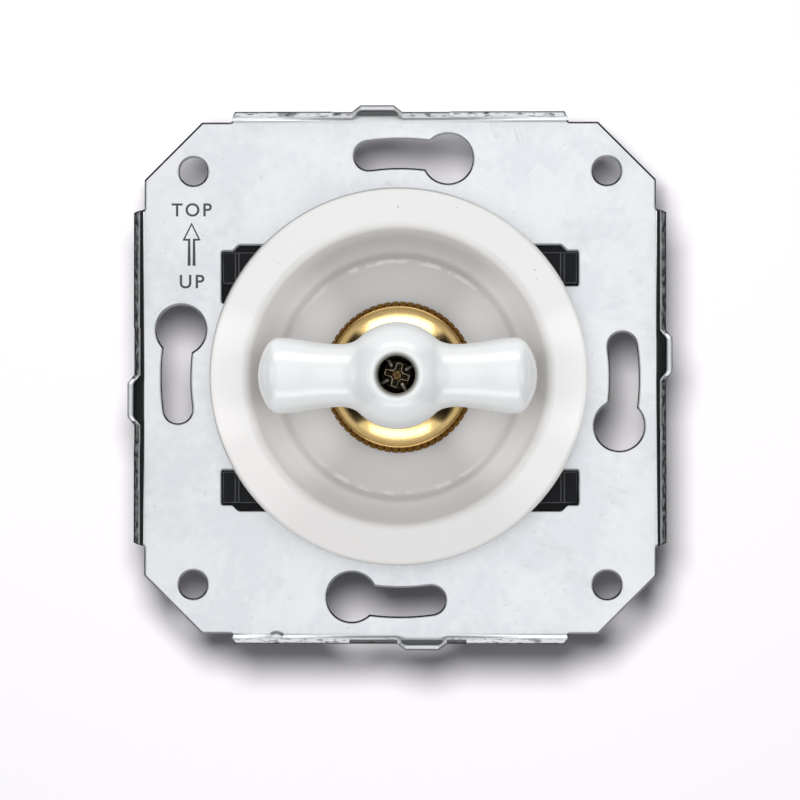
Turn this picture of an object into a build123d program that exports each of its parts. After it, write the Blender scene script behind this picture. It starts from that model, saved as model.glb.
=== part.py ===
from build123d import *
import math
import os

# Millimetres. +X is right and +Z is up as the switch hangs on the wall, and its front faces -Y.
# The origin is on the spindle axis, in the plane of the support plate's rear face.
# Every size named _y is a place along the axis: negative ahead of that plane, positive behind it.

# Clearances
running_gap = 0.05
fit_gap = 0.1
thread_gap = 0.03

# Support plate: bent sheet steel
plate_size = 71.0
plate_t = 0.8
bend_inner_r = 0.5
corner_cut = 7.7
lip_inset = 3.9
lip_height = 2.2
lip_low_height = 1.5
lip_low_top = 8.9
lip_low_bottom = -6.7
lip_taper = 0.6
tab_top = 6.3
tab_bottom = -0.3
tab_throw = 0.8
tab_height = 2.6
tab_slope = 1.1
fold_notch_x = -16.5
fold_notch_r = 0.93
fold_notch_bite = 0.17
fold_notch_depth = 0.45

# Holes in the plate: for the corner screws, the box screws and the housing's lugs
corner_hole_inset = 7.85
corner_hole_r = 1.88
screw_circle_r = 30.0
screw_slot_width = 3.85
screw_slot_back = 8.0
screw_slot_ahead = 12.4
screw_entry_r = 3.33
window_inset_x = 0.2
window_inset_z = 1.1
window_width = 6.4
window_height = 4.5
window_key_drop = 2.3
window_step = 0.8
window_step_inset = 1.5

# Porcelain bowl
bowl_height = 9.5
bowl_rim_r = 24.9
bowl_rim_width = 5.0
bowl_rim_t = 1.8
bowl_overhang = 2.6
bowl_base_r = 17.0
bowl_heel = 1.3
bowl_floor_t = 3.0
bowl_floor_fall = 0.4
bowl_foot_height = 1.4
bowl_mouth_round = 1.6
bowl_floor_round = 1.2
bowl_edge_round = 0.6

# Ring nut and its washer
washer_t = 0.5
nut_r = 10.05
nut_taper = 0.4
nut_foot = 0.35
nut_side = 1.5
nut_shoulder_width = 0.45
nut_shoulder_height = 0.4
nut_dome_step = 0.1
nut_dome = 1.9
nut_dome_fullness = 0.65
nut_eye_land = 0.9
knurl_count = 60
knurl_depth = 0.27

# Threaded bush
bush_r = 5.0
bush_recess = 0.45
flange_r = 7.8
flange_flats = 12.0
flange_t = 1.5

# Spindle and its clip
spindle_r = 3.0
collar_land = 1.0
handle_square = 5.0
handle_square_length = 4.7
rotor_square = 4.0
rotor_square_length = 7.1
tap_runout = 1.0
clip_t = 0.7
clip_r = 5.0
clip_groove = 0.6
clip_opening = 60.0

# Lever handle
handle_gap = 0.65
hub_r = 7.0
hub_rear_r = 5.8
hub_height = 11.3
hub_lip_land = 0.15
hub_rear_round = 0.6
arm_offset = 5.3
arm_half_length = 18.2
arm_neck_r = 4.1
arm_blend_r = 4.5
arm_bite = 0.15
arm_end_r = 4.98
arm_cap = 2.0
arm_corner_round = 1.9
arm_seam_round = 2.5
counterbore_round = 1.0
handle_web_t = 1.8

# Handle screw and its washer
screw_r = 1.5
screw_length = 6.4
screw_head_r = 2.35
screw_head_t = 1.9
screw_head_gap = 0.1
screw_crown = 0.5
recess_span = 3.1
recess_width = 0.75
recess_depth = 1.2
recess_turn = -15.0
handle_washer_t = 0.4

# Mechanism housing and rear cover
housing_width = 48.0
housing_height = 36.0
housing_round = 2.0
front_wall = 2.2
cavity_gap = 1.2
lug_gap = 0.2
lug_height = 1.7
lug_hook = 1.2
lug_rib = 0.5
lug_rib_inset = 1.65
lug_rib_height = 0.4
cover_t = 2.6

# Rotor
rotor_gap = 0.7
rotor_clear = 0.4
cam_flats = 12.0
cam_corner_r = 7.6
cam_t = 4.6
drum_r = 8.2
drum_t = 6.0
drum_clear = 1.2
bridge_slot_depth = 3.0
spigot_r = 2.0
spigot_length = 3.6

# Contact bridge
bridge_width = 5.0
bridge_half_length = 8.9
bridge_t = 0.6
bridge_flat = 3.0
bridge_bend = 6.0

# Contact strips and rivets
strip_t = 0.8
strip_width = 3.2
contact_circle_r = 7.2
rivet_r = 1.4
rivet_height = 0.6
rivet_bevel = 0.3
contact_gap = 0.1
tail_length = 3.8
tail_depth = 6.0

# Terminals
terminal_wall_x = 3.4
terminal_wall_z = 3.2
terminal_width = 8.0
terminal_height = 8.0
terminal_depth = 8.0
wire_hole_r = 1.7
wire_hole_drop = 1.5
terminal_screw_r = 1.5
terminal_screw_clear = 0.2
terminal_screw_inset = 3.5
terminal_head_r = 2.0
terminal_head_t = 1.4
wire_entry_r = 1.9
wire_entry_chamfer = 0.7

# Detent springs
detent_wall = 1.0
detent_t = 0.4
detent_sag = 2.2
detent_width = 3.6
detent_gap = 0.2

# Cover screws
cover_screw_inset = 4.0
cover_screw_r = 1.25
cover_screw_length = 9.0
cover_screw_runout = 1.0
cover_head_r = 2.4
cover_head_t = 1.3

# Places across the switch that follow from these sizes
bend_outer_r = bend_inner_r + plate_t
flat_half = plate_size / 2 - bend_outer_r
lip_length = 2 * (flat_half - corner_cut - lip_inset)
corner_pitch = plate_size - 2 * corner_hole_inset
window_out = housing_width / 2 - window_inset_x
window_in = window_out - window_width
window_top = housing_height / 2 - window_inset_z
window_bottom = window_top - window_height
bush_hole_r = bush_r + fit_gap
nut_side_r = nut_r - nut_taper
nut_shoulder_r = nut_side_r - nut_shoulder_width
collar_r = bush_r - collar_land
clip_seat_r = spindle_r - clip_groove
counterbore_r = screw_head_r + screw_head_gap
cavity_r = drum_r + cavity_gap
terminal_x = housing_width / 2 - terminal_wall_x - terminal_width / 2
terminal_z = housing_height / 2 - terminal_wall_z - terminal_height / 2
terminal_inner_x = terminal_x - terminal_width / 2
terminal_inner_z = terminal_z - terminal_height / 2
terminal_outer_z = terminal_z + terminal_height / 2
wire_z = terminal_z - wire_hole_drop
detent_half_length = terminal_inner_x - strip_t - detent_wall
cover_screw_z = housing_height / 2 - cover_screw_inset

# Places along the axis that follow from them, from the bowl to the lever's screw
seat_y = -bowl_floor_t
nut_rear_y = seat_y - washer_t
nut_front_y = nut_rear_y - nut_foot - nut_side - nut_shoulder_height - nut_dome
bush_front_y = nut_front_y + bush_recess
collar_rear_y = bush_front_y - fit_gap
handle_rear_y = nut_front_y - handle_gap
handle_axis_y = handle_rear_y - arm_offset
spindle_front_y = handle_rear_y - handle_square_length
web_rear_y = spindle_front_y - 2 * fit_gap
web_front_y = web_rear_y - handle_web_t
head_rear_y = web_front_y - handle_washer_t
shank_rear_y = head_rear_y + screw_length

# And from the bush's flange to the rear cover
flange_rear_y = front_wall + flange_t
clip_front_y = flange_rear_y + fit_gap
journal_rear_y = clip_front_y + clip_t + 2 * fit_gap
square_rear_y = journal_rear_y + rotor_square_length
rotor_front_y = journal_rear_y + rotor_gap
cavity_front_y = rotor_front_y - rotor_clear
detent_front_y = rotor_front_y + (cam_t - detent_width) / 2
cam_rear_y = rotor_front_y + cam_t
drum_rear_y = cam_rear_y + drum_t
spigot_rear_y = drum_rear_y + spigot_length
slot_floor_y = drum_rear_y - bridge_slot_depth
strip_front_y = drum_rear_y + drum_clear
fixed_rivet_y = strip_front_y - rivet_height
bridge_rear_y = fixed_rivet_y - contact_gap - rivet_height
housing_rear_y = strip_front_y + strip_t
cover_rear_y = housing_rear_y + cover_t
terminal_front_y = housing_rear_y - terminal_depth
terminal_screw_y = terminal_front_y + terminal_screw_inset
tail_front_y = housing_rear_y - tail_depth

# Corners of the housing as signs of x and z
UPPER_LEFT = (-1, 1)
UPPER_RIGHT = (1, 1)
LOWER_RIGHT = (1, -1)
LOWER_LEFT = (-1, -1)
CORNERS = (UPPER_LEFT, UPPER_RIGHT, LOWER_RIGHT, LOWER_LEFT)
WIRED_CORNERS = (UPPER_LEFT, UPPER_RIGHT, LOWER_RIGHT)


def slab(sketch, front_y, rear_y):
    """A front-view outline made into a block between two depths."""
    return extrude(Plane.XZ.offset(-rear_y) * sketch, rear_y - front_y)


def rod(radius, front_y, rear_y):
    """A round bar on the spindle axis."""
    return slab(Circle(radius), front_y, rear_y)


def turned(outline, rounds=()):
    """A body turned about the spindle axis from (radius, depth) corners, some of them rounded."""
    face = make_face(Polyline(*outline, close=True))
    for corner, radius in rounds:
        face = fillet(face.vertices().sort_by_distance((corner[0], corner[1], 0))[0], radius)
    return revolve(face, Axis.Y)


def between(x_from, x_to, z_from, z_to):
    """A front-view rectangle between two pairs of coordinates."""
    centre = Pos((x_from + x_to) / 2, (z_from + z_to) / 2)
    return centre * Rectangle(abs(x_to - x_from), abs(z_to - z_from))


def at_corner(corner, x_from, x_to, z_from, z_to):
    """A front-view rectangle in one quarter of the switch, given by its signs."""
    side, height = corner
    return between(side * x_from, side * x_to, height * z_from, height * z_to)


def lip_section(throw, height):
    """The section across a lip whose wall is pressed outward by the throw, bend and all."""
    inner_r = bend_inner_r + throw
    outer_r = bend_outer_r + throw
    inner_x = flat_half + inner_r
    outer_x = flat_half + outer_r
    centre_y = -plate_t - inner_r
    outline = RadiusArc((flat_half, 0), (outer_x, centre_y), outer_r)
    outline += Line((outer_x, centre_y), (outer_x, -height))
    outline += Line((outer_x, -height), (inner_x, -height))
    outline += Line((inner_x, -height), (inner_x, centre_y))
    outline += RadiusArc((inner_x, centre_y), (flat_half, -plate_t), -inner_r)
    return make_face(outline + Line((flat_half, -plate_t), (flat_half, 0)))


def lip():
    """The right-hand lip: tapered ends, a low stretch, and in that the tab pressed outward."""
    plain = lip_section(0, lip_height)
    thrown = lip_section(tab_throw, tab_height)
    half_length = lip_length / 2
    body = Pos(0, 0, -half_length) * extrude(plain, lip_length)
    for end in (-1, 1):
        corners = (
            (flat_half, end * half_length),
            (flat_half + 2 * bend_outer_r, end * (half_length - 2 * lip_taper)),
            (flat_half + 2 * bend_outer_r, end * half_length),
        )
        body -= slab(make_face(Polyline(*corners, close=True)), -lip_height - plate_t, plate_t)
    low = between(flat_half, plate_size, lip_low_bottom, lip_low_top)
    body -= slab(low, -lip_height - plate_t, -lip_low_height)
    tab_stretch = between(flat_half, plate_size, tab_bottom, tab_top)
    body -= slab(tab_stretch, -lip_height - plate_t, plate_t)
    slope_low_z = tab_bottom + tab_slope
    slope_high_z = tab_top - tab_slope
    body += loft([Pos(0, 0, tab_bottom) * plain, Pos(0, 0, slope_low_z) * thrown], ruled=True)
    body += loft([Pos(0, 0, slope_high_z) * thrown, Pos(0, 0, tab_top) * plain], ruled=True)
    return body + Pos(0, 0, slope_low_z) * extrude(thrown, slope_high_z - slope_low_z)


def fold_notch():
    """The blind half-round notch at the lower lip's fold, which the bending tool centres on."""
    centre_z = fold_notch_bite - flat_half - fold_notch_r
    disc = Pos(fold_notch_x, centre_z) * Circle(fold_notch_r)
    lip_wall = between(-flat_half, flat_half, -flat_half - bend_inner_r, -plate_size)
    return slab(disc - lip_wall, -lip_height, fold_notch_depth - plate_t)


def screw_slot():
    """The curved keyhole for the box screw at the plate's top."""
    channel = CenterArc((0, 0), screw_circle_r, 90 + screw_slot_back, -screw_slot_back - screw_slot_ahead)
    entry = Rot(0, 0, 90 - screw_slot_ahead) * Pos(screw_circle_r, 0) * Circle(screw_entry_r)
    return SlotArc(channel, screw_slot_width) + entry


def lug_window(corner):
    """The plate's window for one lug, stepped beyond the housing's edge."""
    bottom = window_bottom - (window_key_drop if corner == UPPER_LEFT else 0)
    outline = at_corner(corner, window_in, window_out, bottom, window_top)
    step_x = window_out - window_step_inset
    step = make_face(
        Polyline(
            (window_in, window_top - window_step),
            (step_x + window_step, window_top - window_step),
            (step_x - window_step, window_top + window_step),
            (window_in, window_top + window_step),
            close=True,
        )
    )
    side, height = corner
    if side < 0:
        step = mirror(step, Plane.YZ)
    if height < 0:
        step = mirror(step, Plane.XZ)
    return outline + step


def support_plate():
    blank = Rectangle(2 * flat_half, 2 * flat_half)
    blank = chamfer(blank.vertices(), corner_cut)
    blank -= Circle(bowl_base_r + 2 * fit_gap)
    blank -= GridLocations(corner_pitch, corner_pitch, 2, 2) * Circle(corner_hole_r)
    for quarter in range(4):
        blank -= Rot(0, 0, 90 * quarter) * screw_slot()
    for corner in CORNERS:
        blank -= lug_window(corner)
    plate = slab(blank, -plate_t, 0)
    for quarter in range(4):
        plate += Rot(0, 90 * quarter, 0) * lip()
    return plate - fold_notch()


def porcelain_bowl():
    rim_rear_y = bowl_rim_t - bowl_height
    mouth = (bowl_rim_r - bowl_rim_width, -bowl_height)
    floor_edge = (bowl_base_r - bowl_heel, seat_y + bowl_floor_fall)
    front_edge = (bowl_rim_r, -bowl_height)
    outline = (
        (bush_hole_r, 0),
        (bowl_base_r, 0),
        (bowl_base_r, -bowl_foot_height),
        (bowl_rim_r - bowl_overhang, rim_rear_y),
        (bowl_rim_r, rim_rear_y),
        front_edge,
        mouth,
        floor_edge,
        (nut_r, seat_y),
        (bush_hole_r, seat_y),
    )
    rounds = (
        (mouth, bowl_mouth_round),
        (floor_edge, bowl_floor_round),
        (front_edge, bowl_edge_round),
        ((bowl_rim_r, rim_rear_y), bowl_edge_round),
    )
    return turned(outline, rounds)


def bowl_washer():
    return rod(nut_shoulder_r, nut_rear_y, seat_y) - rod(bush_hole_r, nut_rear_y, seat_y)


def ring_nut():
    """A domed nut with a plain shoulder, whose sloping side is knurled for the fingers."""
    foot_y = nut_rear_y - nut_foot
    side_y = foot_y - nut_side
    rim_y = side_y - nut_shoulder_height
    dome_r = nut_shoulder_r - nut_dome_step
    bore = bush_r + thread_gap
    nut_eye_r = bush_r + nut_eye_land
    dome_middle = ((dome_r + nut_eye_r) / 2, rim_y - nut_dome_fullness * nut_dome)
    outline = Polyline(
        (nut_eye_r, nut_front_y),
        (bore, nut_front_y),
        (bore, nut_rear_y),
        (nut_r, nut_rear_y),
        (nut_r, foot_y),
        (nut_side_r, side_y),
        (nut_shoulder_r, rim_y),
        (dome_r, rim_y),
    ) + ThreePointArc((dome_r, rim_y), dome_middle, (nut_eye_r, nut_front_y))
    nut = revolve(make_face(outline), Axis.Y)
    slope = math.degrees(math.atan2(nut_taper, nut_side))
    groove_side = knurl_depth * math.sqrt(2)
    groove = extrude(Rectangle(groove_side, groove_side, rotation=45), 4 * nut_side)
    groove = Pos(nut_r + nut_taper, foot_y + nut_side, 0) * Rot(0, 0, -slope) * Rot(90, 0, 0) * groove
    pitch = 360 / knurl_count
    return nut - [Rot(0, pitch * tooth, 0) * groove for tooth in range(knurl_count)]


def threaded_bush():
    flange = slab(Circle(flange_r) & Rectangle(3 * flange_r, flange_flats), front_wall, flange_rear_y)
    bush = rod(bush_r, bush_front_y, front_wall) + flange
    return bush - rod(spindle_r + running_gap, bush_front_y, flange_rear_y)


def hub():
    """The lever's domed middle, round about the spindle axis."""
    front_y = handle_rear_y - hub_height
    lip_r = counterbore_r + counterbore_round + hub_lip_land
    drop = hub_r - lip_r
    rise = handle_axis_y - front_y
    dome_radius = (drop**2 + rise**2) / (2 * drop)
    back = hub_r - hub_rear_r
    back_radius = (back**2 + arm_offset**2) / (2 * back)
    side = (hub_r, handle_axis_y)
    outline = Line((0, front_y), (lip_r, front_y))
    outline += RadiusArc((lip_r, front_y), side, -dome_radius)
    outline += RadiusArc(side, (hub_rear_r, handle_rear_y), -back_radius)
    outline += Polyline((hub_rear_r, handle_rear_y), (0, handle_rear_y), (0, front_y))
    body = revolve(make_face(outline), Axis.Y)
    body = fillet(body.faces().sort_by(Axis.Y)[-1].edges(), hub_rear_round)
    # A quarter turn puts the start of the turned surface between the arms and not under one
    return Rot(0, 90, 0) * body


def arms():
    """Both arms in one turned bar: from the hub's circle to a waist and a rounded end."""
    blend_z = arm_neck_r + arm_blend_r
    centres = hub_r + arm_blend_r - arm_bite
    blend_x = math.sqrt(centres**2 - blend_z**2)
    share = (hub_r - arm_bite) / centres
    start = (share * blend_x, share * blend_z)
    neck = (blend_x, arm_neck_r)
    end = (arm_half_length - arm_cap, arm_end_r)
    tip = (arm_half_length, 0)
    flare = arm_end_r - arm_neck_r
    flare_radius = ((end[0] - blend_x) ** 2 + flare**2) / (4 * flare)
    middle = ((blend_x + end[0]) / 2, (arm_neck_r + arm_end_r) / 2)
    cap_radius = (arm_cap**2 + arm_end_r**2) / (2 * arm_cap)
    outline = Polyline(tip, (0, 0), (0, start[1]), start)
    outline += RadiusArc(start, neck, -arm_blend_r)
    outline += RadiusArc(neck, middle, -flare_radius)
    outline += RadiusArc(middle, end, flare_radius)
    outline += RadiusArc(end, tip, cap_radius)
    face = make_face(outline)
    face = fillet(face.vertices().sort_by_distance((end[0], end[1], 0))[0], arm_corner_round)
    right = Pos(0, handle_axis_y, 0) * revolve(face, Axis.X)
    return right + mirror(right, Plane.YZ)


def lever_handle():
    """Two waisted round arms that flow into a domed hub, with the screw's counterbore in front."""
    middle = hub()
    bars = arms()
    body = middle + bars
    body = fillet(new_edges(middle, bars, combined=body), arm_seam_round)
    body -= rod(counterbore_r, handle_rear_y - 2 * hub_height, web_front_y)
    body -= rod(screw_r + fit_gap, web_front_y, web_rear_y)
    socket = handle_square + fit_gap
    body -= slab(Rectangle(socket, socket), web_rear_y, handle_rear_y)
    mouth = body.edges().filter_by(GeomType.CIRCLE).sort_by(Axis.Y)[0]
    return fillet(mouth, counterbore_round)


def handle_washer():
    hole = rod(screw_r + fit_gap, head_rear_y, web_front_y)
    return rod(counterbore_r - fit_gap, head_rear_y, web_front_y) - hole


def handle_screw():
    """A pan head with a cross recess, and its plain shank."""
    front_y = head_rear_y - screw_head_t
    shoulder = (screw_head_r, front_y + screw_crown)
    crown_radius = (screw_crown**2 + screw_head_r**2) / (2 * screw_crown)
    outline = Polyline(
        (0, front_y),
        (0, shank_rear_y),
        (screw_r, shank_rear_y),
        (screw_r, head_rear_y),
        (screw_head_r, head_rear_y),
        shoulder,
    ) + RadiusArc(shoulder, (0, front_y), crown_radius)
    screw = revolve(make_face(outline), Axis.Y)
    cross = Rectangle(recess_span, recess_width) + Rectangle(recess_width, recess_span)
    recess = Rot(0, 0, recess_turn) * (cross + Circle(recess_width))
    return screw - slab(recess, front_y - screw_crown, front_y + recess_depth)


def spindle():
    bar = slab(Rectangle(handle_square, handle_square), spindle_front_y, handle_rear_y)
    bar += rod(collar_r, handle_rear_y, collar_rear_y)
    bar += rod(spindle_r, collar_rear_y, journal_rear_y)
    groove = (clip_front_y - running_gap, clip_front_y + clip_t + running_gap)
    bar -= rod(collar_r, *groove) - rod(clip_seat_r, *groove)
    bar += slab(Rectangle(rotor_square, rotor_square), journal_rear_y, square_rear_y)
    return bar - rod(screw_r + thread_gap, spindle_front_y, shank_rear_y + tap_runout)


def spindle_clip():
    """An open ring that snaps into the spindle's groove from the side."""
    ring = Circle(clip_r) - Circle(clip_seat_r + running_gap)
    half = math.radians(clip_opening / 2)
    reach = 2 * clip_r
    opening = make_face(
        Polyline(
            (0, 0),
            (reach * math.sin(half), -reach * math.cos(half)),
            (-reach * math.sin(half), -reach * math.cos(half)),
            close=True,
        )
    )
    return slab(ring - opening, clip_front_y, clip_front_y + clip_t)


def detent_outline(sign):
    """The bowed leaf above or below the cam, seen from the front."""
    near = cam_flats / 2 + detent_gap
    end_near = near + detent_sag
    near_arc = ThreePointArc((-detent_half_length, end_near), (0, near), (detent_half_length, end_near))
    end_far = end_near + detent_t
    far = near + detent_t
    far_arc = ThreePointArc((detent_half_length, end_far), (0, far), (-detent_half_length, end_far))
    ends = Line((detent_half_length, end_near), (detent_half_length, end_far))
    ends += Line((-detent_half_length, end_far), (-detent_half_length, end_near))
    face = make_face(near_arc + far_arc + ends)
    return face if sign > 0 else mirror(face, Plane.XZ)


def detent_spring(sign):
    return slab(detent_outline(sign), detent_front_y, detent_front_y + detent_width)


def housing_pockets():
    """Everything that is cored out of the housing from its rear."""
    rear_y = housing_rear_y
    pockets = rod(cavity_r, cavity_front_y, rear_y)
    flange = Circle(flange_r + fit_gap) & Rectangle(3 * flange_r, flange_flats + 2 * fit_gap)
    pockets += slab(flange, front_wall, cavity_front_y)
    half = detent_half_length + 2 * fit_gap
    outer = cam_flats / 2 + detent_gap + detent_sag + detent_t + fit_gap
    pockets += slab(between(-half, half, -outer, outer), detent_front_y - fit_gap, rear_y)
    for corner in CORNERS:
        block = at_corner(
            corner,
            terminal_inner_x,
            terminal_x + terminal_width / 2 + fit_gap,
            terminal_inner_z - fit_gap,
            terminal_outer_z + fit_gap,
        )
        pockets += slab(block, terminal_front_y, rear_y)
    for corner in WIRED_CORNERS:
        tail = tail_outline(corner, fit_gap)
        pockets += slab(tail, tail_front_y - fit_gap, rear_y)
    legs = common_outline(fit_gap) + right_outline(fit_gap) + lower_outline(fit_gap)
    pockets += slab(legs, strip_front_y - fit_gap, rear_y)
    return pockets


def lug(corner):
    """A corner lug that hooks over the plate's web beside its window."""
    inner_x = window_in + lug_gap
    outer_x = window_out - lug_gap
    low_z = window_bottom + lug_gap
    high_z = window_top - lug_gap
    post = slab(at_corner(corner, inner_x, outer_x, low_z, high_z), -lug_height, 0)
    hook = at_corner(corner, inner_x - lug_hook, inner_x, low_z, high_z)
    rib_x = outer_x - lug_rib_inset
    rib = at_corner(corner, rib_x - lug_rib, rib_x, low_z, high_z)
    post += slab(hook, -lug_height, -plate_t - fit_gap)
    return post + slab(rib, -lug_height - lug_rib_height, -lug_height)


def mechanism_housing():
    body = slab(RectangleRounded(housing_width, housing_height, housing_round), 0, housing_rear_y)
    for corner in CORNERS:
        body += lug(corner)
    body -= housing_pockets()
    body -= rod(bush_hole_r, 0, front_wall)
    for corner in WIRED_CORNERS:
        side, height = corner
        grow = (Align.CENTER, Align.CENTER, Align.MIN)
        hole = Cylinder(terminal_head_r + 2 * fit_gap, housing_height, align=grow)
        hole = Pos(side * terminal_x, terminal_screw_y, terminal_z) * hole
        body -= hole if height > 0 else mirror(hole, Plane.XY)
    for sign in (-1, 1):
        pilot = Pos(0, sign * cover_screw_z) * Circle(cover_screw_r + thread_gap)
        front_y = housing_rear_y - cover_screw_length - cover_screw_runout
        body -= slab(pilot, front_y, housing_rear_y)
    return body


def rear_cover():
    rear_y = cover_rear_y
    plate = RectangleRounded(housing_width, housing_height, housing_round)
    for side, height in WIRED_CORNERS:
        plate -= Pos(side * terminal_x, height * wire_z) * Circle(wire_entry_r)
    for sign in (-1, 1):
        plate -= Pos(0, sign * cover_screw_z) * Circle(cover_screw_r + fit_gap)
    cover = slab(plate, housing_rear_y, rear_y)
    rims = cover.faces().sort_by(Axis.Y)[-1].edges().filter_by(GeomType.CIRCLE)
    entries = rims.filter_by(lambda rim: abs(rim.radius - wire_entry_r) < fit_gap)
    cover = chamfer(entries, wire_entry_chamfer)
    for sign in (-1, 1):
        cover -= cover_head(sign, fit_gap)
    return cover - rod(spigot_r + running_gap, housing_rear_y, spigot_rear_y + fit_gap)


def cover_head(sign, gap):
    """The countersunk head of a cover screw, or its seat where there is a gap."""
    front_y = cover_rear_y - cover_head_t
    outline = (
        (0, front_y),
        (cover_screw_r + gap, front_y),
        (cover_head_r + gap, cover_rear_y),
        (0, cover_rear_y),
    )
    return Pos(0, 0, sign * cover_screw_z) * turned(outline)


def cover_screws():
    screws = []
    for sign in (-1, 1):
        place = Pos(0, sign * cover_screw_z)
        shank = slab(place * Circle(cover_screw_r), housing_rear_y - cover_screw_length, cover_rear_y)
        screw = shank + cover_head(sign, 0)
        cross = Rectangle(recess_span, recess_width) + Rectangle(recess_width, recess_span)
        screw -= slab(place * Rot(0, 0, 45) * cross, cover_rear_y - recess_depth, cover_rear_y)
        screws.append(screw)
    return Compound(screws)


def rotor():
    """The square detent cam and, behind it, the drum that carries the bridge."""
    cam = slab(Rectangle(cam_flats, cam_flats) & Circle(cam_corner_r), rotor_front_y, cam_rear_y)
    drum = rod(drum_r, cam_rear_y, drum_rear_y)
    slot = Rectangle(3 * drum_r, bridge_width + 2 * fit_gap)
    drum -= slab(slot, slot_floor_y, drum_rear_y)
    body = cam + drum + rod(spigot_r, slot_floor_y, spigot_rear_y)
    socket = rotor_square + fit_gap
    return body - slab(Rectangle(socket, socket), rotor_front_y, square_rear_y + fit_gap)


def contact_bridge():
    """A bronze leaf, flat over the slot's floor and raised to the contacts at both ends."""
    low = slot_floor_y
    high = bridge_rear_y - bridge_t
    right = (
        (bridge_flat, low),
        (bridge_bend, high),
        (bridge_half_length, high),
        (bridge_half_length, high + bridge_t),
        (bridge_bend, high + bridge_t),
        (bridge_flat, low + bridge_t),
    )
    left = tuple((-x, y) for x, y in reversed(right))
    face = make_face(Polyline(*right, *left, close=True))
    leaf = Pos(0, 0, -bridge_width / 2) * extrude(face, bridge_width)
    leaf &= rod(bridge_half_length, low, bridge_rear_y)
    return leaf - rod(spigot_r + fit_gap, low, low + bridge_t)


def bridge_rivets():
    """Round contact heads on the ends of the bridge."""
    front_y = bridge_rear_y
    heads = [Pos(side * contact_circle_r, 0) * Circle(rivet_r) for side in (-1, 1)]
    return Compound([chamfered_rivet(head, front_y, front_y + rivet_height, 1) for head in heads])


def chamfered_rivet(outline, front_y, rear_y, facing):
    """A rivet head whose working face is bevelled: facing 1 looks to the rear, -1 to the front."""
    head = slab(outline, front_y, rear_y)
    working_face = head.faces().sort_by(Axis.Y)[-1 if facing > 0 else 0]
    return chamfer(working_face.edges(), rivet_bevel)


def fixed_rivets():
    places = [Rot(0, 0, 90 * quarter) * Pos(contact_circle_r, 0) * Circle(rivet_r) for quarter in range(4)]
    return Compound([chamfered_rivet(place, fixed_rivet_y, strip_front_y, -1) for place in places])


def tail_outline(corner, gap):
    """Where a strip's tail stands beside its wire clamp."""
    reach = tail_length / 2 + gap
    out_x = terminal_inner_x
    return at_corner(corner, out_x - strip_t - gap, out_x, wire_z - reach, wire_z + reach)


def common_outline(gap):
    """Front view of the strip that joins the left and upper contacts to their terminal."""
    width = strip_width + 2 * gap
    ring = Circle(contact_circle_r + width / 2) - Circle(contact_circle_r - width / 2)
    reach = 2 * contact_circle_r
    quarter = (ring & between(-reach, 0, 0, reach)) + Pos(0, contact_circle_r) * Circle(width / 2)
    top_z = wire_z + tail_length / 2 + gap
    out_x = terminal_inner_x
    leg = between(-out_x, -contact_circle_r, -width / 2, width / 2)
    leg += between(-out_x, -out_x + width, -width / 2, top_z)
    return quarter + Pos(-contact_circle_r, 0) * Circle(width / 2) + leg


def right_outline(gap):
    """Front view of the strip from the right contact to the upper right terminal."""
    width = strip_width + 2 * gap
    out_x = terminal_inner_x
    top_z = wire_z + tail_length / 2 + gap
    leg = between(contact_circle_r, out_x, -width / 2, width / 2)
    leg += between(out_x - width, out_x, -width / 2, top_z)
    return leg + Pos(contact_circle_r, 0) * Circle(width / 2)


def lower_outline(gap):
    """Front view of the strip from the lower contact to the lower right terminal."""
    width = strip_width + 2 * gap
    low_z = -(wire_z + tail_length / 2 + gap)
    leg = between(-width / 2, width / 2, low_z, -contact_circle_r)
    leg += between(-width / 2, terminal_inner_x, low_z, low_z + width)
    return leg + Pos(0, -contact_circle_r) * Circle(width / 2)


def strip(outline, corner):
    """A flat contact strip on the rear cover, with its tail bent forward to the wire clamp."""
    flat = slab(outline, strip_front_y, housing_rear_y)
    return flat + slab(tail_outline(corner, 0), tail_front_y, housing_rear_y)


def terminal_clamp(corner):
    """A brass block with the wire's hole along the axis and the screw's hole from outside."""
    side, height = corner
    block = at_corner(
        corner,
        terminal_inner_x,
        terminal_x + terminal_width / 2,
        terminal_inner_z,
        terminal_outer_z,
    )
    block -= Pos(side * terminal_x, height * wire_z) * Circle(wire_hole_r)
    body = slab(block, terminal_front_y, housing_rear_y)
    thread = Pos(side * terminal_x, terminal_screw_y, wire_z) * Cylinder(
        terminal_screw_r + thread_gap, terminal_height, align=(Align.CENTER, Align.CENTER, Align.MIN)
    )
    return body - (thread if height > 0 else mirror(thread, Plane.XY))


def terminal_screw(corner):
    """A slotted screw whose head stands on the clamp's outer face."""
    side, height = corner
    seat_z = terminal_outer_z
    shank_z = wire_z + wire_hole_r + terminal_screw_clear
    grow = (Align.CENTER, Align.CENTER, Align.MIN)
    head = Pos(0, 0, seat_z) * Cylinder(terminal_head_r, terminal_head_t, align=grow)
    shank = Pos(0, 0, shank_z) * Cylinder(terminal_screw_r, seat_z - shank_z, align=grow)
    groove_z = seat_z + terminal_head_t
    groove = Pos(0, 0, groove_z) * Box(3 * terminal_head_r, recess_width, terminal_head_t)
    screw = Pos(side * terminal_x, terminal_screw_y, 0) * (head + shank - groove)
    return screw if height > 0 else mirror(screw, Plane.XY)


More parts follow.
